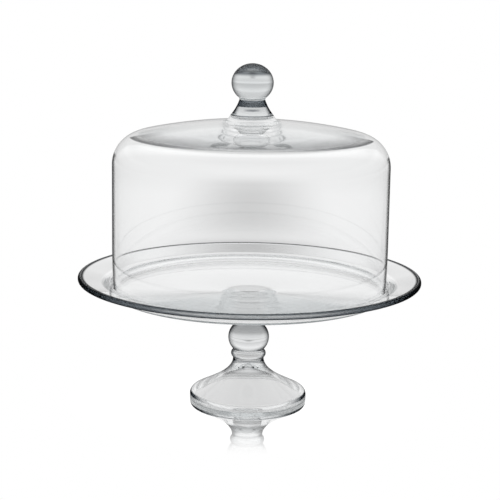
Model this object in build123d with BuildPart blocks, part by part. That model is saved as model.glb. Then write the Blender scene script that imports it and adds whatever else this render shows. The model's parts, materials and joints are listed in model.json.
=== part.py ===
from build123d import *
from math import acos, asin, cos, degrees, radians, sin, sqrt, tan
import os

os.makedirs("parts", exist_ok=True)

# Footed cake plate with a loose dome, all in clear glass, in millimetres.
# Origin: middle of the ground ring, on the table. +Z is up and is the axis of every piece.
# A profile is drawn as (distance from the axis, height).

# Foot: a hollow bell on a narrow ground ring
foot_radius = 56.7
foot_height = 39.6
foot_edge_height = 3.2
foot_edge_round = 0.8
foot_shoulder_round = 6.0
foot_ring_width = 4.0
bell_slope = 26.3
bell_rim_pull = 21.5
bell_neck_pull = 13.0
foot_plug = 7.0
hollow_crown_pull = 12.0
hollow_rim_pull = 17.9
hollow_rim_slope = 30.0

# Stem: collar bead, ball and flared neck
pinch_radius = 14.9
collar_height = 8.8
collar_bulge = 2.0
collar_land = 0.7
ball_bulge = 4.9
ball_half_height = 17.9
neck_radius = 12.6
neck_length = 22.5
neck_flare = 8.4
neck_hollow = 1.2

# Cake plate: low pad, flat well that thins outwards, steep step, sloping brim
pad_height = 3.0
pad_flare = 6.0
plate_thickness = 8.0
well_edge_thickness = 3.5
well_edge_inset = 0.9
well_edge_round = 12.0
well_radius = 131.9
floor_round = 3.0
step_run = 2.2
step_height = 8.0
step_round = 2.0
brim_width = 30.9
brim_slope = 14.0
brim_thickness = 5.6
brim_edge_flat = 0.3
brim_root_run = 5.6
brim_root_round = 20.0

# Dome: straight wall, wide shoulder, low crown that is thickest in the middle
seat_gap = 0.3
dome_side_clearance = 1.0
dome_belly = 1.3
mouth_curve_height = 42.2
dome_wall = 3.0
dome_lip_flat = 0.2
dome_height = 162.7
shoulder_radius = 30.5
crown_radius = 495.0
crown_thickness = 6.6
boss_height = 5.5
boss_flare = 8.9

# Knob: waisted neck under a flattened ball
knob_neck_radius = 11.8
knob_neck_flare = 8.8
knob_neck_length = 16.0
knob_neck_hollow = 1.0
knob_bulge = 8.1
knob_half_height = 18.2
knob_neck_round = 2.0


def ball_drop(half_height, radius, seat_radius):
    """Height between a flattened ball's middle and the circle of seat_radius on it."""
    return half_height * sqrt(1 - (seat_radius / radius) ** 2)


# Heights of the stand, chained from the table up
ball_radius = pinch_radius + ball_bulge
ball_bottom = foot_height + collar_height
ball_middle = ball_bottom + ball_drop(ball_half_height, ball_radius, pinch_radius)
ball_top = ball_middle + ball_drop(ball_half_height, ball_radius, neck_radius)
neck_top = ball_top + neck_length
pad_radius = neck_radius + neck_flare
under_height = neck_top + pad_height
floor_height = under_height + plate_thickness

with BuildPart() as foot:
    with BuildSketch(Plane.XZ):
        ring_inner = foot_radius - foot_ring_width
        bell_start = foot_radius - foot_shoulder_round
        hollow_top = foot_height - foot_plug
        with BuildLine():
            ground = Line((ring_inner, 0), (foot_radius, 0))
            edge = Line(ground @ 1, (foot_radius, foot_edge_height))
            shoulder = CenterArc(
                (bell_start, foot_edge_height), foot_shoulder_round, 0, 90 - bell_slope
            )
            Bezier(
                shoulder @ 1,
                shoulder @ 1 + (shoulder % 1) * bell_rim_pull,
                (pinch_radius, foot_height - bell_neck_pull),
                (pinch_radius, foot_height),
            )
            Polyline((pinch_radius, foot_height), (0, foot_height), (0, hollow_top))
            Bezier(
                (0, hollow_top),
                (hollow_crown_pull, hollow_top),
                (
                    ring_inner - hollow_rim_pull * cos(radians(hollow_rim_slope)),
                    hollow_rim_pull * sin(radians(hollow_rim_slope)),
                ),
                (ring_inner, 0),
            )
        make_face()
    revolve(axis=Axis.Z)
    ground_edges = foot.edges().filter_by(GeomType.CIRCLE).group_by(Axis.Z)[0]
    fillet(ground_edges.sort_by(SortBy.RADIUS)[-1], foot_edge_round)

with BuildPart() as stem_collar:
    with BuildSketch(Plane.XZ):
        with BuildLine():
            Polyline(
                (pinch_radius, foot_height + collar_land),
                (pinch_radius, foot_height),
                (0, foot_height),
                (0, ball_bottom),
                (pinch_radius, ball_bottom),
                (pinch_radius, ball_bottom - collar_land),
            )
            ThreePointArc(
                (pinch_radius, ball_bottom - collar_land),
                (pinch_radius + collar_bulge, foot_height + collar_height / 2),
                (pinch_radius, foot_height + collar_land),
            )
        make_face()
    revolve(axis=Axis.Z)

with BuildPart() as stem_ball:
    with BuildSketch(Plane.XZ):
        with Locations((0, ball_middle)):
            Ellipse(ball_radius, ball_half_height)
        with Locations((0, ball_bottom)):
            Rectangle(
                2 * ball_radius,
                ball_top - ball_bottom,
                align=(Align.MIN, Align.MIN),
                mode=Mode.INTERSECT,
            )
    revolve(axis=Axis.Z)

with BuildPart() as stem_neck:
    with BuildSketch(Plane.XZ):
        with BuildLine():
            SagittaArc((neck_radius, ball_top), (pad_radius, neck_top), neck_hollow)
            Polyline(
                (pad_radius, neck_top), (0, neck_top), (0, ball_top), (neck_radius, ball_top)
            )
        make_face()
    revolve(axis=Axis.Z)

with BuildPart() as cake_plate:
    with BuildSketch(Plane.XZ):
        brim_rise = tan(radians(brim_slope))
        step_radius = well_radius + step_run
        plate_radius = step_radius + brim_width
        brim_root = step_radius + brim_root_run
        brim_start = floor_height + step_height
        brim_end = brim_start + brim_width * brim_rise
        edge_round = (brim_thickness - brim_edge_flat) * cos(radians(brim_slope)) / 2
        with BuildLine():
            Polyline((0, floor_height), (0, neck_top), (pad_radius, neck_top))
            TangentArc(
                (pad_radius + pad_flare, under_height),
                (pad_radius, neck_top),
                tangent=(-1, 0),
            )
            FilletPolyline(
                (pad_radius + pad_flare, under_height),
                (well_radius - well_edge_inset, floor_height - well_edge_thickness),
                (brim_root, brim_start + brim_root_run * brim_rise - brim_thickness),
                (plate_radius, brim_end - brim_thickness),
                (plate_radius, brim_end),
                (step_radius, brim_start),
                (well_radius, floor_height),
                (0, floor_height),
                radius=[
                    well_edge_round,
                    brim_root_round,
                    edge_round,
                    edge_round,
                    step_round,
                    floor_round,
                ],
            )
        make_face()
    revolve(axis=Axis.Z)

# Dome: its lip stands in the plate's well, inside the step
lip_height = floor_height + seat_gap
mouth_radius = well_radius - dome_side_clearance
wall_radius = mouth_radius + dome_belly
wall_bottom = lip_height + mouth_curve_height
crown_top = lip_height + dome_height
seat_height = crown_top + boss_height
seat_radius = knob_neck_radius + knob_neck_flare

# Outer shoulder arc, tangent to the wall and to a crown arc whose middle is on the axis
shoulder_offset = wall_radius - shoulder_radius
crown_middle = crown_top - crown_radius
shoulder_middle = crown_middle + sqrt((crown_radius - shoulder_radius) ** 2 - shoulder_offset**2)
crown_lean = degrees(asin(shoulder_offset / (crown_radius - shoulder_radius)))
boss_lean = degrees(asin((seat_radius + boss_flare) / crown_radius))

# Inner shoulder about the same middle, and the flatter crown arc that is tangent to it
inner_shoulder = shoulder_radius - dome_wall
inner_top = crown_top - crown_thickness
inner_rise = inner_top - shoulder_middle
inner_crown = (inner_rise**2 + shoulder_offset**2 - inner_shoulder**2) / (
    2 * (inner_rise - inner_shoulder)
)
inner_lean = degrees(asin(shoulder_offset / (inner_crown - inner_shoulder)))

with BuildPart() as dome_shell:
    with BuildSketch(Plane.XZ) as dome_profile:
        with BuildLine():
            TangentArc((wall_radius, wall_bottom), (mouth_radius, lip_height), tangent=(0, -1))
            Line((wall_radius, wall_bottom), (wall_radius, shoulder_middle))
            CenterArc((shoulder_offset, shoulder_middle), shoulder_radius, 0, 90 - crown_lean)
            crown = CenterArc(
                (0, crown_middle), crown_radius, 90 - crown_lean, crown_lean - boss_lean
            )
            TangentArc(crown @ 1, (seat_radius, seat_height), tangent=crown % 1)
            Polyline((seat_radius, seat_height), (0, seat_height), (0, inner_top))
            CenterArc((0, inner_top - inner_crown), inner_crown, 90, -inner_lean)
            CenterArc(
                (shoulder_offset, shoulder_middle), inner_shoulder, 90 - inner_lean, inner_lean - 90
            )
            Line(
                (wall_radius - dome_wall, shoulder_middle), (wall_radius - dome_wall, wall_bottom)
            )
            TangentArc(
                (wall_radius - dome_wall, wall_bottom),
                (mouth_radius - dome_wall, lip_height),
                tangent=(0, -1),
            )
            Line((mouth_radius - dome_wall, lip_height), (mouth_radius, lip_height))
        make_face()
        fillet(dome_profile.vertices().group_by(Axis.Y)[0], (dome_wall - dome_lip_flat) / 2)
    revolve(axis=Axis.Z)

# Knob: its neck stands on the boss in the middle of the crown
knob_radius = knob_neck_radius + knob_bulge
knob_neck_top = seat_height + knob_neck_length
knob_middle = knob_neck_top + ball_drop(knob_half_height, knob_radius, knob_neck_radius)
knob_top = knob_middle + knob_half_height
waist_angle = degrees(acos(knob_neck_radius / knob_radius))
quarter_pull = 4 / 3 * (sqrt(2) - 1)

with BuildPart() as dome_knob:
    with BuildSketch(Plane.XZ) as knob_profile:
        with BuildLine():
            Polyline((0, knob_top), (0, seat_height), (seat_radius, seat_height))
            SagittaArc(
                (seat_radius, seat_height), (knob_neck_radius, knob_neck_top), knob_neck_hollow
            )
            EllipticalCenterArc(
                (0, knob_middle), knob_radius, knob_half_height, -waist_angle, arc_size=waist_angle
            )
            Bezier(
                (knob_radius, knob_middle),
                (knob_radius, knob_middle + quarter_pull * knob_half_height),
                (quarter_pull * knob_radius, knob_top),
                (0, knob_top),
            )
        make_face()
        fillet(knob_profile.vertices().group_by(Axis.Y)[1], knob_neck_round)
    revolve(axis=Axis.Z)

foot.part.label = "foot"
stem_collar.part.label = "stem_collar"
stem_ball.part.label = "stem_ball"
stem_neck.part.label = "stem_neck"
cake_plate.part.label = "cake_plate"
dome_shell.part.label = "dome_shell"
dome_knob.part.label = "dome_knob"

export_step(foot.part, "parts/foot.step")
export_step(stem_collar.part, "parts/stem_collar.step")
export_step(stem_ball.part, "parts/stem_ball.step")
export_step(stem_neck.part, "parts/stem_neck.step")
export_step(cake_plate.part, "parts/cake_plate.step")
export_step(dome_shell.part, "parts/dome_shell.step")
export_step(dome_knob.part, "parts/dome_knob.step")
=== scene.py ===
import functools
import json
import math

import bmesh
import bpy
from mathutils import Matrix, Vector
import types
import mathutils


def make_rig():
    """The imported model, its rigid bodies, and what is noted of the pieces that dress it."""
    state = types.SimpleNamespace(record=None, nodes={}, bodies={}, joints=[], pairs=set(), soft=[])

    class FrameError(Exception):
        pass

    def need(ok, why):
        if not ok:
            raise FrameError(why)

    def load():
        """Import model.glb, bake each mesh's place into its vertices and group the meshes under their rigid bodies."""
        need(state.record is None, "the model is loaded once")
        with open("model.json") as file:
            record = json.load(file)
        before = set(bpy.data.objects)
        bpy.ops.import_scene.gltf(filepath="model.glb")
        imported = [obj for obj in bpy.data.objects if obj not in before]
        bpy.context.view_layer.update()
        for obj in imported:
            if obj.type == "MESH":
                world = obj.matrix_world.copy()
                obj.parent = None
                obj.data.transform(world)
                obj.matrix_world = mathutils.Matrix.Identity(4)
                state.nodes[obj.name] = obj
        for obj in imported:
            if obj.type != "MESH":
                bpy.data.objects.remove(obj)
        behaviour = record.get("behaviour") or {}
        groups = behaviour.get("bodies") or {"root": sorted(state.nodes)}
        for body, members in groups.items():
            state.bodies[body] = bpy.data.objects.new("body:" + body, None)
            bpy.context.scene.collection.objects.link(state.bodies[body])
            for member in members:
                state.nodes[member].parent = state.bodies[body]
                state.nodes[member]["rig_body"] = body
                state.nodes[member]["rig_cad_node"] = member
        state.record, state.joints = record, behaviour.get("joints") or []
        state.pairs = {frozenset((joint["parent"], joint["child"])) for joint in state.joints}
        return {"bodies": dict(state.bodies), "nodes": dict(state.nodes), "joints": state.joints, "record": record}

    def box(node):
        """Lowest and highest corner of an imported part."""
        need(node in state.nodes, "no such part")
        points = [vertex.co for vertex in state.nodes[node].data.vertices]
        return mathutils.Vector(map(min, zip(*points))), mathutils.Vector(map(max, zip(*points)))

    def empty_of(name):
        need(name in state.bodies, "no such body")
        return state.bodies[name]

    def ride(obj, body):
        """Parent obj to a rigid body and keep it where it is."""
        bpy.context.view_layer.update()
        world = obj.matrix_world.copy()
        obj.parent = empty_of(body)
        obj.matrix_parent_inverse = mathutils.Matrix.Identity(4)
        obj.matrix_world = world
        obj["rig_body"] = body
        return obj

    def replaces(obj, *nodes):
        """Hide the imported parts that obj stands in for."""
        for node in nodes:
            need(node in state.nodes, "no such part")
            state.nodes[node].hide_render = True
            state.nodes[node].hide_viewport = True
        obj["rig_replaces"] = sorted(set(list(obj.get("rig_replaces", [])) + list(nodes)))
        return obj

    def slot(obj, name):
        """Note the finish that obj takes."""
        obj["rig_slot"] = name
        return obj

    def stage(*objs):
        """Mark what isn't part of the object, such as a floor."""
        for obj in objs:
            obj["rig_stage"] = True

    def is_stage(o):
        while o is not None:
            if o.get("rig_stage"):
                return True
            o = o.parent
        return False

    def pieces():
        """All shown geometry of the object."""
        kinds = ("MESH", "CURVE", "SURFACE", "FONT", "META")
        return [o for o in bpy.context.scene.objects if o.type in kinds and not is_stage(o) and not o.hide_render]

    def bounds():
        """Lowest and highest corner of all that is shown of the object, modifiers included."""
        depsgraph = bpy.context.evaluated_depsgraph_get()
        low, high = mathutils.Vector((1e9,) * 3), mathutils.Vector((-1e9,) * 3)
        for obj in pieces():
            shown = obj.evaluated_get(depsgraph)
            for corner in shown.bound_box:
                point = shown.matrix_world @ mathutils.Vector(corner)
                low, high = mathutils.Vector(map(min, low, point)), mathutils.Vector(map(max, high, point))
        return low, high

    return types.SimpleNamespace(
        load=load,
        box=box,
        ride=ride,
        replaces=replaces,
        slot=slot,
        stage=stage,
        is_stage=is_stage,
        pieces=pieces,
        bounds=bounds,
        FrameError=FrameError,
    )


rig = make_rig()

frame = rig.load()
cad_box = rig.bounds()

bl_info = {
    "name": "Glass Cake Stand with Dome",
    "version": (1, 0, 0),
    "blender": (4, 5, 0),
    "location": "3D View > Sidebar > Cake Stand",
    "description": "Turns the glass of a footed cake plate and its dome, and sets the studio around them",
    "category": "Add Mesh",
}

MM = 0.001
ARC_STEP = math.radians(3)
# The crown's arcs are so wide that they are divided by number and not by angle
CROWN_STEPS = 24
BEZIER_STEPS = 40
# A straight run has extra points this far from its ends, so that smooth shading keeps it flat
FLAT_GUARDS = (0.3 * MM, 1.2 * MM, 4 * MM)
CREASE_STEPS = 6
WELD_DISTANCE = 1e-6
# Light is reflected many times inside thick glass before it leaves
LIGHT_BOUNCES = 80


@functools.cache
def corners_of(node):
    """Lowest and highest corner of a CAD node, read once."""
    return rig.box(node)


def reach(node):
    """Widest distance of a CAD node from the axis."""
    return corners_of(node)[1].x


def bottom(node):
    return corners_of(node)[0].z


def top(node):
    return corners_of(node)[1].z


def near(place, *offsets):
    """Places in metres, at offsets in millimetres from a place of the frame."""
    return tuple(place + offset * MM for offset in offsets)


def length(name, description, value):
    """A size in metres, shown in the scene's unit of length."""
    return bpy.props.FloatProperty(
        name=name, description=description, default=value, precision=5, subtype="DISTANCE", unit="LENGTH"
    )


def slope(name, description, degrees):
    return bpy.props.FloatProperty(
        name=name, description=description, default=math.radians(degrees), subtype="ANGLE", unit="ROTATION"
    )


def number(name, description, value, lowest, highest):
    return bpy.props.FloatProperty(
        name=name, description=description, default=value, min=lowest, max=highest
    )


def tint(name, description, value):
    return bpy.props.FloatVectorProperty(
        name=name, description=description, default=value, size=3, min=0.0, max=1.0, subtype="COLOR"
    )


class CAKESTAND_PG_stand(bpy.types.PropertyGroup):
    """Sizes of the foot, the stem and the plate"""

    foot_radius: length("Foot radius", "Widest radius of the foot", reach("foot"))
    foot_height: length("Foot height", "Height of the bell up to the collar", top("foot"))
    foot_edge_height: length("Foot edge height", "Upright part of the foot's edge", 3.2 * MM)
    foot_edge_round: length("Foot edge round", "Rounding between the edge and the ground", 0.8 * MM)
    foot_shoulder_round: length("Foot shoulder round", "Rounding between the edge and the bell", 6 * MM)
    foot_ring_width: length("Foot ring width", "Width of the ring on the ground", 3 * MM)
    bell_slope: slope("Bell slope", "Slope of the bell where it leaves the edge", 26.3)
    bell_rim_pull: length("Bell rim pull", "How far the bell keeps that slope", 21.5 * MM)
    bell_neck_pull: length("Bell neck pull", "How far the bell stays upright below the collar", 13 * MM)
    foot_plug: length("Foot plug", "Glass between the hollow and the collar", 5 * MM)
    hollow_crown_pull: length("Hollow crown pull", "How far the hollow stays level at its top", 8 * MM)
    hollow_rim_pull: length("Hollow rim pull", "How far the hollow keeps its slope at the ring", 17.9 * MM)
    hollow_rim_slope: slope("Hollow rim slope", "Slope of the hollow at the ring", 30)
    pinch_radius: length("Pinch radius", "Radius above and below the collar", 14.9 * MM)
    collar_radius: length("Collar radius", "Widest radius of the collar", reach("stem_collar"))
    collar_land: length("Collar land", "Straight part above and below the collar's bead", 0.7 * MM)
    ball_radius: length("Ball radius", "Widest radius of the ball", reach("stem_ball"))
    ball_bottom: length("Ball bottom", "Height of the collar's top", bottom("stem_ball"))
    ball_top: length("Ball top", "Height where the ball meets the neck", top("stem_ball"))
    ball_half_height: length("Ball half height", "Half the height of the whole ball", 17.9 * MM)
    neck_hollow: length("Neck hollow", "How far the neck draws in from a straight cone", 1.2 * MM)
    pad_radius: length("Pad radius", "Radius of the neck at the plate's pad", reach("stem_neck"))
    pad_bottom: length("Pad bottom", "Height of the pad's underside", bottom("cake_plate"))
    pad_flare: length("Pad flare", "How far the pad flares into the underside", 6 * MM)
    pad_height: length("Pad height", "Height of the pad below the underside", 3 * MM)
    plate_thickness: length("Plate thickness", "Thickness of the well's floor at the pad", 8 * MM)
    well_edge_thickness: length("Well edge thickness", "Thickness of the well's floor at its edge", 3.5 * MM)
    well_edge_inset: length("Well edge inset", "From the underside's corner to the well's edge", 0.9 * MM)
    well_edge_round: length("Well edge round", "Rounding of the underside's corner", 12 * MM)
    well_radius: length("Well radius", "Radius of the well's floor", 131.9 * MM)
    floor_round: length("Floor round", "Rounding between the floor and the step", 3 * MM)
    step_run: length("Step run", "How far the step leans outwards", 2.2 * MM)
    step_height: length("Step height", "Height of the step", 8 * MM)
    step_round: length("Step round", "Rounding between the step and the brim", 2 * MM)
    plate_radius: length("Plate radius", "Radius of the whole plate", reach("cake_plate"))
    brim_slope: slope("Brim slope", "Slope of the brim", 14)
    brim_thickness: length("Brim thickness", "Upright thickness of the brim", 5.6 * MM)
    brim_edge_flat: length("Brim edge flat", "Flat part of the brim's edge", 0.3 * MM)
    brim_root_run: length("Brim root run", "Distance of the brim's lower root from the step", 5.6 * MM)
    brim_root_round: length("Brim root round", "Rounding of the brim's lower root", 20 * MM)


class CAKESTAND_PG_dome(bpy.types.PropertyGroup):
    """Sizes of the dome and its knob"""

    lip_height: length("Lip height", "Height of the dome's lip", bottom("dome_shell"))
    wall_radius: length("Wall radius", "Radius of the straight wall", reach("dome_shell"))
    belly: length("Belly", "How far the wall stands out over the mouth", 1.3 * MM)
    mouth_curve_height: length("Mouth curve height", "Height over which the wall draws in", 42.2 * MM)
    wall: length("Wall", "Thickness of the wall", 3 * MM)
    lip_flat: length("Lip flat", "Flat part of the lip", 0.2 * MM)
    shoulder_radius: length("Shoulder radius", "Rounding of the shoulder", 30.5 * MM)
    crown_radius: length("Crown radius", "Radius of the crown's arc", 495 * MM)
    crown_thickness: length("Crown thickness", "Thickness of the crown on the axis", 6.6 * MM)
    boss_height: length("Boss height", "Height of the boss over the crown's arc", 5.5 * MM)
    boss_flare: length("Boss flare", "How far the boss flares into the crown", 8.9 * MM)
    seat_height: length("Seat height", "Height where the knob meets the boss", bottom("dome_knob"))
    seat_radius: length("Seat radius", "Radius where the knob meets the boss", reach("dome_knob"))
    knob_gap: length("Knob gap", "Thin layer of air between the boss and the knob's flat base", 0.05 * MM)
    knob_radius: length("Knob radius", "Widest radius of the knob", 19.9 * MM)
    knob_top: length("Knob top", "Height of the knob's top", top("dome_knob"))
    knob_half_height: length("Knob half height", "Half the height of the whole ball", 18.2 * MM)
    knob_neck_radius: length("Knob neck radius", "Narrowest radius of the knob's neck", 11.8 * MM)
    knob_neck_hollow: length("Knob neck hollow", "How far the neck draws in from a straight cone", 1 * MM)
    knob_neck_round: length("Knob neck round", "Rounding between the neck and the ball", 2 * MM)


class CAKESTAND_PG_finish(bpy.types.PropertyGroup):
    """Finish of the glass"""

    sides: bpy.props.IntProperty(
        name="Sides", description="Facets around the axis", default=224, min=32, max=512
    )
    crease: length("Crease", "Softening where two pieces of glass are fused", 0.5 * MM)
    ior: number("Index of refraction", "How strongly the glass bends light", 1.5, 1.0, 2.0)
    clear: tint("Clear", "Colour that one surface lets through", (0.99, 0.992, 0.993))
    depth_tint: tint("Depth tint", "Colour that light takes on deep inside the glass", (0.30, 0.36, 0.38))
    stand_depth: number("Stand depth", "How fast the stand takes on that colour, per metre", 4.5, 0.0, 50.0)
    dome_depth: number("Dome depth", "How fast the dome takes on that colour, per metre", 1.5, 0.0, 50.0)
    knob_depth: number("Knob depth", "How fast the knob takes on that colour, per metre", 11.0, 0.0, 50.0)
    # The colour of the painted shade in the glass's coat
    shade_tint: tint("Shade tint", "Colour of the dark bands", (0.26, 0.28, 0.30))
    wave: length("Wave", "Size of the faint waves left by the mould", 0.02 * MM)


class CAKESTAND_PG_studio(bpy.types.PropertyGroup):
    """Studio and camera"""

    distance: length("Distance", "Distance of the camera from the axis", 1.4)
    height: length("Height", "Height of the camera over the floor", 0.4265)
    pitch: slope("Pitch", "How far the camera looks down", 11.33)
    roll: slope("Roll", "How far the camera leans", 0.9)
    lens: number("Lens", "Focal length in mm on a 36 mm sensor", 106.8, 20.0, 300.0)
    floor_radius: length("Floor radius", "Radius of the floor", 6.0)


class Line:
    """Spans of an outline, as (distance from the axis, height) points, joined end to end."""

    def __init__(self, *start):
        self.points = [start]
        self.creases = []

    def end(self):
        return self.points[-1]

    def add(self, points):
        self.points += points[1:]
        return self

    def crease(self):
        self.creases.append(len(self.points) - 1)

    def straight(self, *end):
        return self.add(straight(self.end(), end))

    def finish(self, softening):
        """The outline's points, with each crease replaced by a small curve."""
        points = self.points
        for crease in reversed(self.creases):
            points = soften(points, crease, softening)
        return points


def between(a, b, share):
    return (a[0] + (b[0] - a[0]) * share, a[1] + (b[1] - a[1]) * share)


def straight(start, end):
    """A straight run with the guard points that fit in its outer thirds."""
    run = math.dist(start, end)
    guards = [g for g in FLAT_GUARDS if g < run / 3]
    shares = [0.0] + [g / run for g in guards] + [1 - g / run for g in reversed(guards)] + [1.0]
    return [between(start, end, share) for share in shares]


def arc(middle, radius, start, end, steps=None):
    """Circular arc between two angles, in radians from outwards towards up."""
    return ellipse_arc(middle, radius, radius, start, end, steps)


def ellipse_arc(middle, half_width, half_height, start, end, steps=None):
    steps = steps or max(3, math.ceil(abs(end - start) / ARC_STEP))
    angles = [start + (end - start) * step / steps for step in range(steps + 1)]
    return [(middle[0] + half_width * math.cos(a), middle[1] + half_height * math.sin(a)) for a in angles]


def tangent_arc(start, end, direction):
    """Circular arc from start to end that leaves start along direction."""
    run = Vector(end) - Vector(start)
    side = Vector((-direction[1], direction[0])).normalized()
    radius = run.length_squared / (2 * run.dot(side))
    middle = Vector(start) + side * radius
    first = math.atan2(start[1] - middle.y, start[0] - middle.x)
    last = math.atan2(end[1] - middle.y, end[0] - middle.x)
    turn = (last - first) % math.tau if radius > 0 else -((first - last) % math.tau)
    return arc(middle, abs(radius), first, first + turn)


def drawn_in_arc(start, end, hollow):
    """Circular arc from start to end whose middle stands hollow to the left of its chord."""
    run = Vector(end) - Vector(start)
    lean = 2 * math.atan2(2 * hollow, run.length)
    return tangent_arc(start, end, Matrix.Rotation(lean, 2) @ run)


def bezier(a, b, c, d):
    points = []
    for step in range(BEZIER_STEPS + 1):
        t = step / BEZIER_STEPS
        u = 1 - t
        weights = (u**3, 3 * u * u * t, 3 * u * t * t, t**3)
        points.append(tuple(sum(w * p[axis] for w, p in zip(weights, (a, b, c, d))) for axis in (0, 1)))
    return points


def rounded(corners, radii):
    """Straight runs through the corners, with each inner corner rounded."""
    points = [corners[0]]
    for before, corner, after, radius in zip(corners, corners[1:], corners[2:], radii):
        into = (Vector(corner) - Vector(before)).normalized()
        out = (Vector(after) - Vector(corner)).normalized()
        cut = radius * math.tan(into.angle(out) / 2)
        start = Vector(corner) - into * cut
        points += straight(points[-1], tuple(start))[1:]
        points += tangent_arc(tuple(start), tuple(Vector(corner) + out * cut), into)[1:]
    return points + straight(points[-1], corners[-1])[1:]


def walk(points, start, step, distance):
    """The point at a distance along the outline from one of its points, and the last point passed."""
    index = start
    while True:
        span = math.dist(points[index], points[index + step])
        if span > distance:
            return between(points[index], points[index + step], distance / span), index
        distance -= span
        index += step


def soften(points, crease, softening):
    """Replaces one crease by a small quadratic curve."""
    before, first = walk(points, crease, -1, softening)
    after, last = walk(points, crease, 1, softening)
    curve = []
    for step in range(CREASE_STEPS + 1):
        t = step / CREASE_STEPS
        curve.append(between(between(before, points[crease], t), between(points[crease], after, t), t))
    return points[:first] + curve + points[last + 1 :]


def hollow_and_foot(size):
    """Outline from the middle of the foot's hollow, under its ring and up the bell to the collar."""
    hollow_top = size.foot_height - size.foot_plug
    ring_inner = size.foot_radius - size.foot_ring_width
    bell_start = size.foot_radius - size.foot_shoulder_round
    line = Line(0.0, hollow_top)
    line.add(
        bezier(
            line.end(),
            (size.hollow_crown_pull, hollow_top),
            (
                ring_inner - size.hollow_rim_pull * math.cos(size.hollow_rim_slope),
                size.hollow_rim_pull * math.sin(size.hollow_rim_slope),
            ),
            (ring_inner, 0.0),
        )
    ).crease()
    edge = [line.end(), (size.foot_radius, 0.0), (size.foot_radius, size.foot_edge_height)]
    line.add(rounded(edge, [size.foot_edge_round]))
    line.add(
        arc((bell_start, size.foot_edge_height), size.foot_shoulder_round, 0, math.pi / 2 - size.bell_slope)
    )
    start = line.end()
    line.add(
        bezier(
            start,
            (
                start[0] - size.bell_rim_pull * math.cos(size.bell_slope),
                start[1] + size.bell_rim_pull * math.sin(size.bell_slope),
            ),
            (size.pinch_radius, size.foot_height - size.bell_neck_pull),
            (size.pinch_radius, size.foot_height),
        )
    )
    return line


def add_stem(line, size):
    """Adds the collar, the ball and the neck to the outline."""
    line.straight(size.pinch_radius, size.foot_height + size.collar_land).crease()
    bead_top = (size.pinch_radius, size.ball_bottom - size.collar_land)
    line.add(drawn_in_arc(line.end(), bead_top, size.pinch_radius - size.collar_radius)).crease()
    line.straight(size.pinch_radius, size.ball_bottom).crease()
    half = size.ball_half_height
    middle = size.ball_bottom + half * math.sqrt(1 - (size.pinch_radius / size.ball_radius) ** 2)
    start = math.asin((size.ball_bottom - middle) / half)
    end = math.asin((size.ball_top - middle) / half)
    line.add(ellipse_arc((0, middle), size.ball_radius, half, start, end)).crease()
    line.add(drawn_in_arc(line.end(), (size.pad_radius, size.pad_bottom), size.neck_hollow)).crease()


def add_plate(line, size):
    """Adds the pad, the underside, the brim, the step and the well's floor to the outline."""
    under = size.pad_bottom + size.pad_height
    pad_edge = (size.pad_radius + size.pad_flare, under)
    line.add(tangent_arc(pad_edge, line.end(), (-1, 0))[::-1])
    rise = math.tan(size.brim_slope)
    floor = under + size.plate_thickness
    step_radius = size.well_radius + size.step_run
    brim_start = floor + size.step_height
    brim_end = brim_start + (size.plate_radius - step_radius) * rise
    root_height = brim_start + size.brim_root_run * rise - size.brim_thickness
    edge_round = (size.brim_thickness - size.brim_edge_flat) * math.cos(size.brim_slope) / 2
    corners = [
        pad_edge,
        (size.well_radius - size.well_edge_inset, floor - size.well_edge_thickness),
        (step_radius + size.brim_root_run, root_height),
        (size.plate_radius, brim_end - size.brim_thickness),
        (size.plate_radius, brim_end),
        (step_radius, brim_start),
        (size.well_radius, floor),
        (0.0, floor),
    ]
    radii = [
        size.well_edge_round,
        size.brim_root_round,
        edge_round,
        edge_round,
        size.step_round,
        size.floor_round,
    ]
    line.add(rounded(corners, radii))


def stand_outline(size, softening):
    line = hollow_and_foot(size)
    line.crease()
    add_stem(line, size)
    add_plate(line, size)
    return line.finish(softening)


def dome_outline(size, softening):
    """Outline from the crown's inside on the axis, down the wall, round the lip and up to the boss."""
    offset = size.wall_radius - size.shoulder_radius
    mouth = size.wall_radius - size.belly
    wall_bottom = size.lip_height + size.mouth_curve_height
    crown_top = size.seat_height - size.boss_height
    crown_middle = crown_top - size.crown_radius
    shoulder_middle = crown_middle + math.sqrt((size.crown_radius - size.shoulder_radius) ** 2 - offset**2)
    crown_lean = math.asin(offset / (size.crown_radius - size.shoulder_radius))
    boss_lean = math.asin((size.seat_radius + size.boss_flare) / size.crown_radius)
    inner_shoulder = size.shoulder_radius - size.wall
    inner_top = crown_top - size.crown_thickness
    inner_rise = inner_top - shoulder_middle
    inner_crown = (inner_rise**2 + offset**2 - inner_shoulder**2) / (2 * (inner_rise - inner_shoulder))
    inner_lean = math.asin(offset / (inner_crown - inner_shoulder))
    lip_round = (size.wall - size.lip_flat) / 2
    quarter = math.pi / 2

    line = Line(0.0, inner_top)
    inner_crown_middle = (0, inner_top - inner_crown)
    line.add(arc(inner_crown_middle, inner_crown, quarter, quarter - inner_lean, CROWN_STEPS))
    line.add(arc((offset, shoulder_middle), inner_shoulder, quarter - inner_lean, 0))
    line.straight(size.wall_radius - size.wall, wall_bottom)
    line.add(lip(size, mouth, wall_bottom, lip_round))
    line.straight(size.wall_radius, shoulder_middle)
    line.add(arc((offset, shoulder_middle), size.shoulder_radius, 0, quarter - crown_lean))
    crown_start = quarter - crown_lean
    line.add(arc((0, crown_middle), size.crown_radius, crown_start, quarter - boss_lean, CROWN_STEPS))
    leaving = (-math.cos(boss_lean), math.sin(boss_lean))
    line.add(tangent_arc(line.end(), (size.seat_radius, size.seat_height), leaving)).crease()
    line.straight(0.0, size.seat_height)
    return line.finish(softening)


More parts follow.
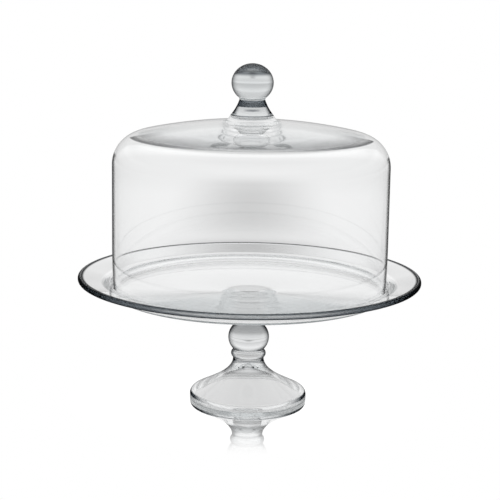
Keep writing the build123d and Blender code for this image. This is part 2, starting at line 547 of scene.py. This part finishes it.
def lip(size, mouth, wall_bottom, lip_round):
    """The mouth's inner curve, the rounded lip and the outer curve."""
    inside = size.wall_radius - size.wall
    inner = tangent_arc((inside, wall_bottom), (mouth - size.wall, size.lip_height), (0, -1))
    outer = tangent_arc((size.wall_radius, wall_bottom), (mouth, size.lip_height), (0, -1))[::-1]
    inner, first = trim(inner, size.lip_height + lip_round)
    outer, last = trim(outer, size.lip_height + lip_round)
    left = (first[0] + lip_round, first[1])
    right = (last[0] - lip_round, last[1])
    under_left = arc(left, lip_round, math.pi, 1.5 * math.pi)
    under_right = arc(right, lip_round, 1.5 * math.pi, 2 * math.pi)
    return inner + under_left[1:] + under_right + outer[1:]


def trim(points, height):
    """The points over a height, and the point where the outline crosses it."""
    kept = [p for p in points if p[1] > height]
    for a, b in zip(points, points[1:]):
        if (a[1] - height) * (b[1] - height) <= 0:
            crossing = between(a, b, (height - a[1]) / (b[1] - a[1]))
    falling = points[0][1] > points[-1][1]
    return (kept + [crossing] if falling else [crossing] + kept), crossing


def knob_outline(size, softening):
    """Outline of the knob: its flat base, the waisted neck and the flattened ball."""
    middle = size.knob_top - size.knob_half_height
    waist = math.acos(size.knob_neck_radius / size.knob_radius)
    neck_top = (size.knob_neck_radius, middle - size.knob_half_height * math.sin(waist))
    base = size.seat_height + size.knob_gap
    line = Line(0.0, base)
    line.straight(size.seat_radius, base).crease()
    line.add(drawn_in_arc(line.end(), neck_top, size.knob_neck_hollow))
    corner = len(line.points) - 1
    line.add(ellipse_arc((0, middle), size.knob_radius, size.knob_half_height, -waist, math.pi / 2))
    line.points[-1] = (0.0, size.knob_top)
    line.points = soften(line.points, corner, size.knob_neck_round)
    return line.finish(softening)


def chain_mesh(name, outline):
    """The outline as a chain of vertices in the plane y = 0."""
    mesh = bpy.data.meshes.new(name)
    chain = [(step, step + 1) for step in range(len(outline) - 1)]
    mesh.from_pydata([(radius, 0.0, height) for radius, height in outline], chain, [])
    return mesh


class Tree:
    """A node tree under construction."""

    def __init__(self, tree):
        self.tree = tree

    def node(self, kind, settings=None, **sockets):
        """Adds a node: its settings are set first, then its sockets are given values or links."""
        made = self.tree.nodes.new(kind)
        for name, value in (settings or {}).items():
            if name == "stops":
                set_stops(made.color_ramp, value)
            else:
                setattr(made, name, value)
        for name, value in sockets.items():
            self.feed(made, name, value)
        return made

    def feed(self, made, name, value):
        """Gives a socket a value or a link; a name such as in_0 counts the sockets."""
        if name.startswith("in_"):
            socket = made.inputs[int(name[3:])]
        else:
            socket = made.inputs[name.replace("_", " ")]
        if isinstance(value, Value):
            value = value.socket
        if isinstance(value, bpy.types.NodeSocket):
            self.tree.links.new(value, socket)
        else:
            socket.default_value = value

    def value(self, socket):
        return Value(self, socket)

    def math(self, operation, *numbers):
        """The result of a Math node on one or two numbers."""
        sockets = {f"in_{place}": each for place, each in enumerate(numbers)}
        made = self.node("ShaderNodeMath", {"operation": operation}, **sockets)
        return self.value(made.outputs[0])

    def mixed_colour(self, share, first, second):
        """A colour between two others. On a Mix node, sockets 6 and 7 and output 2 are colours."""
        mix = self.node("ShaderNodeMix", {"data_type": "RGBA"}, Factor=share, in_6=first, in_7=second)
        return mix.outputs[2]


def set_stops(ramp, stops):
    """Gives a colour ramp its greys, from stops of (position, level)."""
    while len(ramp.elements) < len(stops):
        ramp.elements.new(0.5)
    for element, (position, grey) in zip(ramp.elements, stops):
        element.position = position
        element.color = (grey, grey, grey, 1.0)


class Value:
    """A number in a node tree, on which Python's operators add Math nodes."""

    def __init__(self, tree, socket):
        self.tree = tree
        self.socket = socket

    def math(self, operation, *others):
        return self.tree.math(operation, self, *others)

    def __add__(self, other):
        return self.math("ADD", other)

    __radd__ = __add__

    def __mul__(self, other):
        return self.math("MULTIPLY", other)

    __rmul__ = __mul__

    def __sub__(self, other):
        return self.math("SUBTRACT", other)

    def __rsub__(self, other):
        return self.tree.math("SUBTRACT", other, self)

    def __truediv__(self, other):
        return self.math("DIVIDE", other)

    def __rtruediv__(self, other):
        return self.tree.math("DIVIDE", other, self)

    def __pow__(self, other):
        return self.math("POWER", other)

    def __rpow__(self, other):
        return self.tree.math("POWER", other, self)

    def ramp(self, low, high):
        """0 below low, 1 over high, and a smooth rise between them."""
        made = self.tree.node(
            "ShaderNodeMapRange",
            {"interpolation_type": "SMOOTHSTEP"},
            Value=self,
            From_Min=low,
            From_Max=high,
        )
        return self.tree.value(made.outputs["Result"])

    def fall(self, low, high):
        """1 below low, 0 over high, and a smooth fall between them."""
        return 1.0 - self.ramp(low, high)

    def band(self, start, full, fading, end):
        """Rises from start to full, stays at 1, and falls from fading to end."""
        return self.ramp(start, full) * self.fall(fading, end)


def lathe_tree():
    """Geometry nodes that turn a chain of vertices about the vertical axis into a closed skin."""
    tree = bpy.data.node_groups.new("Lathe", "GeometryNodeTree")
    face = tree.interface
    face.new_socket("Outline", in_out="INPUT", socket_type="NodeSocketGeometry")
    face.new_socket("Sides", in_out="INPUT", socket_type="NodeSocketInt")
    face.new_socket("Glass", in_out="INPUT", socket_type="NodeSocketMaterial")
    face.new_socket("Skin", in_out="OUTPUT", socket_type="NodeSocketGeometry")
    build = Tree(tree)
    given = build.node("NodeGroupInput")
    rows = build.node(
        "GeometryNodeAttributeDomainSize", {"component": "MESH"}, Geometry=given.outputs["Outline"]
    )
    sides = build.value(given.outputs["Sides"])
    columns = sides + 1
    grid = build.node(
        "GeometryNodeMeshGrid",
        Size_X=1.0,
        Size_Y=1.0,
        Vertices_X=rows.outputs["Point Count"],
        Vertices_Y=columns,
    )
    place = build.value(build.node("GeometryNodeInputIndex").outputs[0])
    row = (place / columns).math("FLOOR")
    angle = (place - row * columns) * math.tau / sides
    position = build.node("GeometryNodeInputPosition")
    sampled = build.node(
        "GeometryNodeSampleIndex",
        {"data_type": "FLOAT_VECTOR", "domain": "POINT"},
        Geometry=given.outputs["Outline"],
        Value=position.outputs[0],
        Index=row,
    )
    turned = build.node(
        "ShaderNodeVectorRotate", {"rotation_type": "Z_AXIS"}, Vector=sampled.outputs[0], Angle=angle
    )
    placed = build.node(
        "GeometryNodeSetPosition", Geometry=grid.outputs["Mesh"], Position=turned.outputs[0]
    )
    welded = build.node("GeometryNodeMergeByDistance", Geometry=placed.outputs[0], Distance=WELD_DISTANCE)
    smooth = build.node("GeometryNodeSetShadeSmooth", Geometry=welded.outputs[0], Shade_Smooth=True)
    real = build.node("GeometryNodeRealizeInstances", Geometry=smooth.outputs[0])
    dressed = build.node(
        "GeometryNodeSetMaterial", Geometry=real.outputs[0], Material=given.outputs["Glass"]
    )
    result = build.node("NodeGroupOutput")
    tree.links.new(dressed.outputs[0], result.inputs["Skin"])
    return tree


def set_input(modifier, name, value):
    """Sets a geometry-nodes input by its identifier."""
    for item in modifier.node_group.interface.items_tree:
        if item.in_out == "INPUT" and item.name == name:
            modifier[item.identifier] = value
            return
    raise RuntimeError(f"the lathe has no input named {name}")


def turn_on_lathe(name, outline, sides, glass):
    """A finished piece: the outline turned about the axis, closed and facing outwards."""
    piece = bpy.data.objects.new(name, chain_mesh(name, outline))
    bpy.context.scene.collection.objects.link(piece)
    lathe = bpy.data.node_groups.get("Lathe") or lathe_tree()
    modifier = piece.modifiers.new("Lathe", "NODES")
    modifier.node_group = lathe
    set_input(modifier, "Sides", sides)
    set_input(modifier, "Glass", glass)
    evaluated = piece.evaluated_get(bpy.context.evaluated_depsgraph_get())
    skin = bpy.data.meshes.new_from_object(evaluated)
    piece.modifiers.remove(modifier)
    piece.data = skin
    skin.name = name
    turn_outwards(name, skin)
    return piece


def turn_outwards(name, skin):
    """Turns the faces outwards, and stops if the skin isn't closed."""
    shape = bmesh.new()
    shape.from_mesh(skin)
    if any(not edge.is_manifold for edge in shape.edges):
        raise RuntimeError(f"{name} is not closed")
    if shape.calc_volume(signed=True) < 0:
        bmesh.ops.reverse_faces(shape, faces=shape.faces)
    shape.to_mesh(skin)
    shape.free()


def new_material(name):
    material = bpy.data.materials.new(name)
    material.use_nodes = True
    material.node_tree.nodes.clear()
    return material, Tree(material.node_tree)


def object_place(build):
    """Object coordinates: their socket, and x, y, the height and the distance from the axis."""
    coordinates = build.node("ShaderNodeTexCoord").outputs["Object"]
    place = build.node("ShaderNodeSeparateXYZ", Vector=coordinates)
    x, y, height = (build.value(place.outputs[axis]) for axis in range(3))
    return coordinates, x, y, height, (x * x + y * y).math("SQRT")


# The slow waves of pressed glass
WAVES_PER_METRE = 28.0
WAVE_DETAIL = 2.0
WAVE_STRENGTH = 0.5
# The ring on the ground and the lowest part of the foot's edge are rubbed dull, the other glass is bright
RUBBED_ROUGHNESS = 0.22
RUBBED_REACH = near(reach("foot"), -6.7, -3.7)
RUBBED_HEIGHT = near(bottom("foot"), 3.5, 5.0)
# The coat that holds the painted shade hardly bends light, so it darkens and adds no gloss of its own
SHADE_IOR = 1.01
SHADE_ROUGHNESS = 0.03


def glass_material(name, finish, depth, shade):
    """Clear glass with a coat of painted shade that darkens it. Shade works out the coat from facing, radius
    and height, and from whether the light meets the surface from inside the glass."""
    material, build = new_material(name)
    coordinates, _, _, height, radius = object_place(build)
    waves = build.node(
        "ShaderNodeTexNoise", Vector=coordinates, Scale=WAVES_PER_METRE, Detail=WAVE_DETAIL
    )
    bump = build.node(
        "ShaderNodeBump",
        Strength=WAVE_STRENGTH,
        Distance=finish.wave,
        Height=waves.outputs[0],
    )
    facing = build.value(build.node("ShaderNodeLayerWeight").outputs["Facing"])
    inside_hit = build.value(build.node("ShaderNodeNewGeometry").outputs["Backfacing"])
    surface = build.node(
        "ShaderNodeBsdfPrincipled",
        Base_Color=(*finish.clear, 1.0),
        Roughness=radius.ramp(*RUBBED_REACH) * RUBBED_ROUGHNESS * height.fall(*RUBBED_HEIGHT),
        IOR=finish.ior,
        Transmission_Weight=1.0,
        Coat_Weight=shade(facing, radius, height, inside_hit),
        Coat_Roughness=SHADE_ROUGHNESS,
        Coat_IOR=SHADE_IOR,
        Coat_Tint=(*finish.shade_tint, 1.0),
        Normal=bump.outputs[0],
    )
    inside = build.node(
        "ShaderNodeVolumeAbsorption", Color=(*finish.depth_tint, 1.0), Density=depth
    )
    build.node("ShaderNodeOutputMaterial", Surface=surface.outputs[0], Volume=inside.outputs[0])
    return material


# The shade is painted: it stands in for the dark surroundings that glass shows along its outlines.
# It lies in bands: REACH is a span of distance from the axis, HEIGHT one of height, and FACING one of
# how far the glass is turned away, from 0 where it faces the eye to 1 at its outline. Over two numbers
# a band comes or goes, and over four it comes and goes. SHADE says how dark it gets.
LINE_SHADE = 0.85

STEM_REACH = (22 * MM, 28 * MM)
STEM_END_HEIGHT = near(top("stem_ball"), 14, 18)
STEM_FACING = (0.3, 0.85)
COLLAR_HEIGHT = near(top("foot"), -11.6, -5.6, 10.4, 14.4)
COLLAR_FACING = (0.25, 0.65)
ARCH_HEIGHT = near(top("foot"), -2.8, -1.6, -0.6, 0.4)
ARCH_SHADE = 0.5
# The plate's shadow, painted on the top of the ball and the neck below the plate
PLATE_SHADOW_HEIGHT = near(top("stem_ball"), -16, 0, 14, 18)
PLATE_SHADOW_SHADE = 0.45
FOOT_EDGE_REACH = near(reach("foot"), -4.2, -2.2)
FOOT_EDGE_HEIGHT = near(bottom("foot"), 3.4, 4.2, 6.2, 7.8)
FOOT_EDGE_FACING = (0.15, 0.6)
PLATE_EDGE_REACH = near(reach("cake_plate"), -6.5, -3.8)
PLATE_EDGE_HEIGHT = near(top("cake_plate"), -0.28, 0.52)
PLATE_EDGE_FACING = (0.0, 0.25)
PLATE_EDGE_INNER_FACING = (0.25, 0.5)
# The plate's edge is shaded where it faces the eye too, and more where it turns away
PLATE_EDGE_SHADE = 0.4
PLATE_EDGE_TURNED_SHADE = 0.6


def stand_shade(facing, radius, height, inside_hit):
    """Painted shade along the plate's edge, the stem's and the collar's outline, the arch and the foot's edge,
    and the plate's shadow painted on the ball's top and the neck.
    """
    slim = radius.fall(*STEM_REACH)
    collar = height.band(*COLLAR_HEIGHT) * slim
    stem = slim * height.fall(*STEM_END_HEIGHT) * (1.0 - collar)
    arch = height.band(*ARCH_HEIGHT) * slim
    # The plate's painted shadow on the ball's top and the neck
    neck = height.band(*PLATE_SHADOW_HEIGHT) * slim
    foot_edge = radius.ramp(*FOOT_EDGE_REACH) * height.band(*FOOT_EDGE_HEIGHT)
    plate_edge = radius.ramp(*PLATE_EDGE_REACH) * height.fall(*PLATE_EDGE_HEIGHT)
    turned = facing.ramp(*PLATE_EDGE_FACING) * PLATE_EDGE_TURNED_SHADE
    outside = (
        (turned + PLATE_EDGE_SHADE) * plate_edge
        + facing.ramp(*COLLAR_FACING) * collar * LINE_SHADE
        + facing.ramp(*STEM_FACING) * stem * LINE_SHADE
        + arch * ARCH_SHADE
        + neck * PLATE_SHADOW_SHADE
        + facing.ramp(*FOOT_EDGE_FACING) * foot_edge
    )
    inside = facing.ramp(*PLATE_EDGE_INNER_FACING) * plate_edge
    return outside * (1.0 - inside_hit) + inside * inside_hit


WALL_REACH = near(reach("dome_shell"), -2.7, -1.9)
WALL_END_HEIGHT = near(bottom("dome_shell"), 132.2, 144.2)
WALL_FACING = (0.76, 0.88)
CROWN_HEIGHT = near(bottom("dome_knob"), -26, -22)
# A ring bounds the shape in the crown below, and the angle of view bounds it above
LENS_REACH = near(reach("dome_shell"), -16.7, -15.4)
LENS_FACING = (0.35, 0.62, 0.832, 0.848)
LENS_FADE_REACH = near(reach("dome_shell"), -47.2, -20.2)
LENS_FADE_SHADE = 0.4
LENS_RIM_REACH = near(reach("dome_shell"), -22.2, -16.7)
LENS_RIM_SHADE = 0.35


def dome_shade(facing, radius, height, inside_hit):
    """A painted dark line along the wall's outline, and painted shade in the crown where the glass reflects totally.
    """
    wall = facing.ramp(*WALL_FACING) * height.fall(*WALL_END_HEIGHT) * radius.ramp(*WALL_REACH)
    crown = height.ramp(*CROWN_HEIGHT) * radius.fall(*LENS_REACH)
    lens = crown * facing.band(*LENS_FACING)
    fade = radius.ramp(*LENS_FADE_REACH) * LENS_FADE_SHADE
    dark = fade + radius.ramp(*LENS_RIM_REACH) * LENS_RIM_SHADE
    return (wall * LINE_SHADE + lens * dark) * (1.0 - inside_hit)


CAP_HEIGHT = near(bottom("dome_knob"), 37.2, 40.5)
CAP_SHADE = 0.88
# Where the knob's top faces the eye, as from above, it stays bright
TOP_HEIGHT = near(bottom("dome_knob"), 40.5, 45.0)
TOP_FACING = (0.1, 0.4)
BALL_HEIGHT = near(bottom("dome_knob"), 15.8, 19.0)
BALL_FACING = (0.25, 0.85)
KNOB_NECK_HEIGHT = near(bottom("dome_knob"), 8.2, 9.2, 14.3, 15.8)
CONE_HEIGHT = near(bottom("dome_knob"), 1.2, 2.5, 8.2, 9.2)
CONE_FACING = (0.35, 0.7)
CRESCENT_HEIGHT = near(bottom("dome_knob"), 4.6, 5.3, 6.5, 7.2)
CRESCENT_FACING = (0.06, 0.24)
CRESCENT_SHADE = 0.8
BASE_REACH = near(reach("dome_knob"), -2.1, -1.4)
BASE_HEIGHT = near(bottom("dome_knob"), 0.6, 1.5)


def knob_shade(facing, radius, height, inside_hit):
    """Painted dark cap and neck, a painted dark crescent in the cone, and painted dark lines along the base
    and the ball's outline.
    """
    bright_top = height.ramp(*TOP_HEIGHT) * facing.fall(*TOP_FACING)
    cap = height.ramp(*CAP_HEIGHT) * (1.0 - bright_top)
    ball = height.ramp(*BALL_HEIGHT) * (1.0 - cap)
    # Painted shade on the knob's neck
    neck = height.band(*KNOB_NECK_HEIGHT)
    crescent = height.band(*CRESCENT_HEIGHT) * facing.fall(*CRESCENT_FACING)
    base = radius.ramp(*BASE_REACH) * height.fall(*BASE_HEIGHT)
    dark = (
        facing.ramp(*BALL_FACING) * ball * LINE_SHADE
        + cap * CAP_SHADE
        + neck
        + crescent * CRESCENT_SHADE
        + base * LINE_SHADE
        + facing.ramp(*CONE_FACING) * height.band(*CONE_HEIGHT)
    )
    return dark * (1.0 - inside_hit)


class CAKESTAND_OT_stand(bpy.types.Operator):
    """Turn the glass of the foot, the stem and the plate as one fused piece"""

    bl_idname = "cakestand.add_stand"
    bl_label = "Add Stand"

    def execute(self, context):
        finish = context.scene.cakestand_finish
        glass = glass_material("stand_glass", finish, finish.stand_depth, stand_shade)
        outline = stand_outline(context.scene.cakestand_stand, finish.crease)
        piece = turn_on_lathe("stand_glass", outline, finish.sides, glass)
        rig.ride(piece, "stand")
        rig.replaces(piece, "foot", "stem_collar", "stem_ball", "stem_neck", "cake_plate")
        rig.slot(piece, "clear_glass")
        return {"FINISHED"}


class CAKESTAND_OT_dome(bpy.types.Operator):
    """Turn the glass of the dome"""

    bl_idname = "cakestand.add_dome"
    bl_label = "Add Dome"

    def execute(self, context):
        finish = context.scene.cakestand_finish
        glass = glass_material("dome_glass", finish, finish.dome_depth, dome_shade)
        outline = dome_outline(context.scene.cakestand_dome, finish.crease)
        piece = turn_on_lathe("dome_glass", outline, finish.sides, glass)
        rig.ride(piece, "dome")
        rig.replaces(piece, "dome_shell")
        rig.slot(piece, "clear_glass")
        return {"FINISHED"}


class CAKESTAND_OT_knob(bpy.types.Operator):
    """Turn the glass of the knob that stands on the dome"""

    bl_idname = "cakestand.add_knob"
    bl_label = "Add Knob"

    def execute(self, context):
        finish = context.scene.cakestand_finish
        glass = glass_material("knob_glass", finish, finish.knob_depth, knob_shade)
        outline = knob_outline(context.scene.cakestand_dome, finish.crease)
        piece = turn_on_lathe("knob_glass", outline, finish.sides, glass)
        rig.ride(piece, "dome")
        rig.replaces(piece, "dome_knob")
        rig.slot(piece, "clear_glass")
        return {"FINISHED"}


def by_ray(build, path, emitter, reflected, refracted):
    """White to the camera, one grey to rays that the glass reflected and another to those it refracted."""
    levels = build.mixed_colour(path.outputs["Is Transmission Ray"], reflected, refracted)
    seen = build.mixed_colour(path.outputs["Is Camera Ray"], levels, (1.0, 1.0, 1.0, 1.0))
    return build.node(emitter, Color=seen).outputs[0]


# Grey levels of the floor as the glass sees it, by distance from the axis in metres, with a painted shadow of the
# plate
FLOOR_LEVELS = (
    (0.0, 0.7), (0.05, 0.7), (0.08, 0.62), (0.12, 0.56), (0.165, 0.56), (0.20, 0.75), (0.24, 0.88),
    (0.28, 0.88), (0.33, 0.88), (0.38, 0.95), (0.42, 0.92), (0.48, 0.75), (0.57, 0.75), (0.65, 0.92),
    (1.0, 0.93), (1.25, 0.93), (1.5, 0.87), (2.1, 0.84), (2.6, 0.9), (3.2, 1.0), (6.0, 1.0),
)
# How much of that level is left to rays that the glass reflected
FLOOR_REFLECTED = 0.4
# The patch of painted shade behind the object: its half width, and two stretches along y, in metres
PATCH_HALF_WIDTH = 0.17
NEAR_PATCH = (0.5, 0.6, 0.74, 0.84)
NEAR_PATCH_SHADE = 0.5
FAR_PATCH = (0.6, 1.05, 1.2, 1.6)
FAR_PATCH_SHADE = 0.33
# The mirror image below the foot fades over this distance from the axis
MIRROR_REACH = (75 * MM, 180 * MM)
MIRROR_LEVEL = 1.1
MIRROR_ROUGHNESS = 0.03

# Grey levels of the sky by elevation in degrees, to rays that the glass refracted and reflected
SKY_REFRACTED = (
    (-5, 0.85), (0, 0.72), (4.5, 0.8), (8, 0.88), (11.5, 0.95), (13.5, 0.98), (17, 0.84), (20, 0.8),
    (25, 0.82), (30, 0.92), (36, 1.05), (50, 1.05), (60, 0.9), (75, 0.65), (90, 0.6),
)
SKY_REFLECTED = (
    (-5, 0.3), (1, 0.45), (3, 0.6), (7, 0.65), (11, 0.65), (14, 0.75), (16.4, 1.0), (20.4, 1.0), (23, 0.85),
    (30, 1.0), (50, 1.1), (70, 0.9), (90, 0.8),
)
LOWEST_SKY = -5.0
HIGHEST_SKY = 90.0


def grey_ramp(build, position, levels, place):
    """The grey at a position in levels of (position, grey); place spreads the positions from 0 to 1."""
    stops = [(place(where), level) for where, level in levels]
    return build.node("ShaderNodeValToRGB", {"stops": stops}, in_0=place(position)).outputs[0]


def floor_place(distance):
    """Spreads distances from 0 to 1, with more room near the axis."""
    return (distance / FLOOR_LEVELS[-1][0]) ** 0.5


def sky_place(elevation):
    """Spreads elevations in degrees from 0 to 1."""
    return (elevation - LOWEST_SKY) / (HIGHEST_SKY - LOWEST_SKY)


def floor_material():
    """White to the camera, shaded to the glass, with a faint mirror image near the foot."""
    material, build = new_material("floor")
    path = build.node("ShaderNodeLightPath")
    _, x, y, _, radius = object_place(build)
    lit = grey_ramp(build, radius, FLOOR_LEVELS, floor_place)
    patch = y.band(*NEAR_PATCH) * NEAR_PATCH_SHADE + y.band(*FAR_PATCH) * FAR_PATCH_SHADE
    unshaded = 1.0 - x.math("ABSOLUTE").fall(0.0, PATCH_HALF_WIDTH) * patch
    shaded, dim = (
        build.node("ShaderNodeVectorMath", {"operation": "SCALE"}, in_0=lit, Scale=share).outputs[0]
        for share in (unshaded, FLOOR_REFLECTED)
    )
    seen = by_ray(build, path, "ShaderNodeEmission", dim, shaded)
    mirror_colour = (MIRROR_LEVEL, MIRROR_LEVEL, MIRROR_LEVEL, 1.0)
    mirror = build.node("ShaderNodeBsdfGlossy", Color=mirror_colour, Roughness=MIRROR_ROUGHNESS)
    share = radius.fall(*MIRROR_REACH) * build.value(path.outputs["Is Camera Ray"])
    surface = build.node("ShaderNodeMixShader", in_0=share, in_1=seen, in_2=mirror.outputs[0])
    build.node("ShaderNodeOutputMaterial", Surface=surface.outputs[0])
    return material


def studio_world():
    """A surround that is white to the camera and shaded by elevation to the glass."""
    world = bpy.data.worlds.new("studio")
    world.use_nodes = True
    world.node_tree.nodes.clear()
    build = Tree(world.node_tree)
    path = build.node("ShaderNodeLightPath")
    direction = build.node("ShaderNodeTexCoord").outputs["Generated"]
    up = build.value(build.node("ShaderNodeSeparateXYZ", Vector=direction).outputs["Z"])
    elevation = up.math("ARCSINE") * math.degrees(1.0)
    reflected, refracted = (
        grey_ramp(build, elevation, levels, sky_place) for levels in (SKY_REFLECTED, SKY_REFRACTED)
    )
    seen = by_ray(build, path, "ShaderNodeBackground", reflected, refracted)
    build.node("ShaderNodeOutputWorld", Surface=seen)
    return world


SENSOR_WIDTH = 36.0
FLOOR_SIDES = 128


def add_camera(studio):
    camera = bpy.data.objects.new("camera", bpy.data.cameras.new("camera"))
    bpy.context.scene.collection.objects.link(camera)
    camera.data.lens = studio.lens
    camera.data.sensor_width = SENSOR_WIDTH
    level = Matrix.Rotation(math.pi / 2 - studio.pitch, 4, "X") @ Matrix.Rotation(studio.roll, 4, "Z")
    camera.matrix_world = Matrix.Translation((0.0, -studio.distance, studio.height)) @ level
    bpy.context.scene.camera = camera


class CAKESTAND_OT_stage(bpy.types.Operator):
    """Add the floor, the surround and the camera"""

    bl_idname = "cakestand.add_stage"
    bl_label = "Add Stage"

    def execute(self, context):
        studio = context.scene.cakestand_studio
        shape = bmesh.new()
        bmesh.ops.create_circle(shape, cap_ends=True, segments=FLOOR_SIDES, radius=studio.floor_radius)
        mesh = bpy.data.meshes.new("floor")
        shape.to_mesh(mesh)
        shape.free()
        floor = bpy.data.objects.new("floor", mesh)
        context.scene.collection.objects.link(floor)
        mesh.materials.append(floor_material())
        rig.stage(floor)
        context.scene.world = studio_world()
        add_camera(studio)
        context.scene.view_settings.view_transform = "Standard"
        for kind in ("max_bounces", "glossy_bounces", "transmission_bounces"):
            setattr(context.scene.cycles, kind, LIGHT_BOUNCES)
        return {"FINISHED"}


class CAKESTAND_PT_panel(bpy.types.Panel):
    """Sidebar panel with the operators and their sizes"""

    bl_label = "Cake Stand"
    bl_idname = "CAKESTAND_PT_panel"
    bl_space_type = "VIEW_3D"
    bl_region_type = "UI"
    bl_category = "Cake Stand"

    def draw(self, context):
        for operator, group in (
            (CAKESTAND_OT_stand, context.scene.cakestand_stand),
            (CAKESTAND_OT_dome, context.scene.cakestand_dome),
            (CAKESTAND_OT_knob, None),
            (None, context.scene.cakestand_finish),
            (CAKESTAND_OT_stage, context.scene.cakestand_studio),
        ):
            column = self.layout.column()
            if operator:
                column.operator(operator.bl_idname)
            for name in group.bl_rna.properties.keys() if group else ():
                if name not in ("rna_type", "name"):
                    column.prop(group, name)


GROUPS = {
    "cakestand_stand": CAKESTAND_PG_stand,
    "cakestand_dome": CAKESTAND_PG_dome,
    "cakestand_finish": CAKESTAND_PG_finish,
    "cakestand_studio": CAKESTAND_PG_studio,
}
CLASSES = (
    *GROUPS.values(),
    CAKESTAND_OT_stand,
    CAKESTAND_OT_dome,
    CAKESTAND_OT_knob,
    CAKESTAND_OT_stage,
    CAKESTAND_PT_panel,
)


def register():
    for each in CLASSES:
        bpy.utils.register_class(each)
    for name, group in GROUPS.items():
        setattr(bpy.types.Scene, name, bpy.props.PointerProperty(type=group))


def unregister():
    for name in GROUPS:
        delattr(bpy.types.Scene, name)
    for each in reversed(CLASSES):
        bpy.utils.unregister_class(each)


def main():
    register()
    bpy.ops.cakestand.add_stand()
    bpy.ops.cakestand.add_dome()
    bpy.ops.cakestand.add_knob()
    bpy.ops.cakestand.add_stage()
    boxes = {"cad": cad_box, "visual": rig.bounds()}
    with open("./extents.json", "w") as file:
        json.dump({name: [list(corner) for corner in box] for name, box in boxes.items()}, file)


if __name__ == "__main__":
    main()
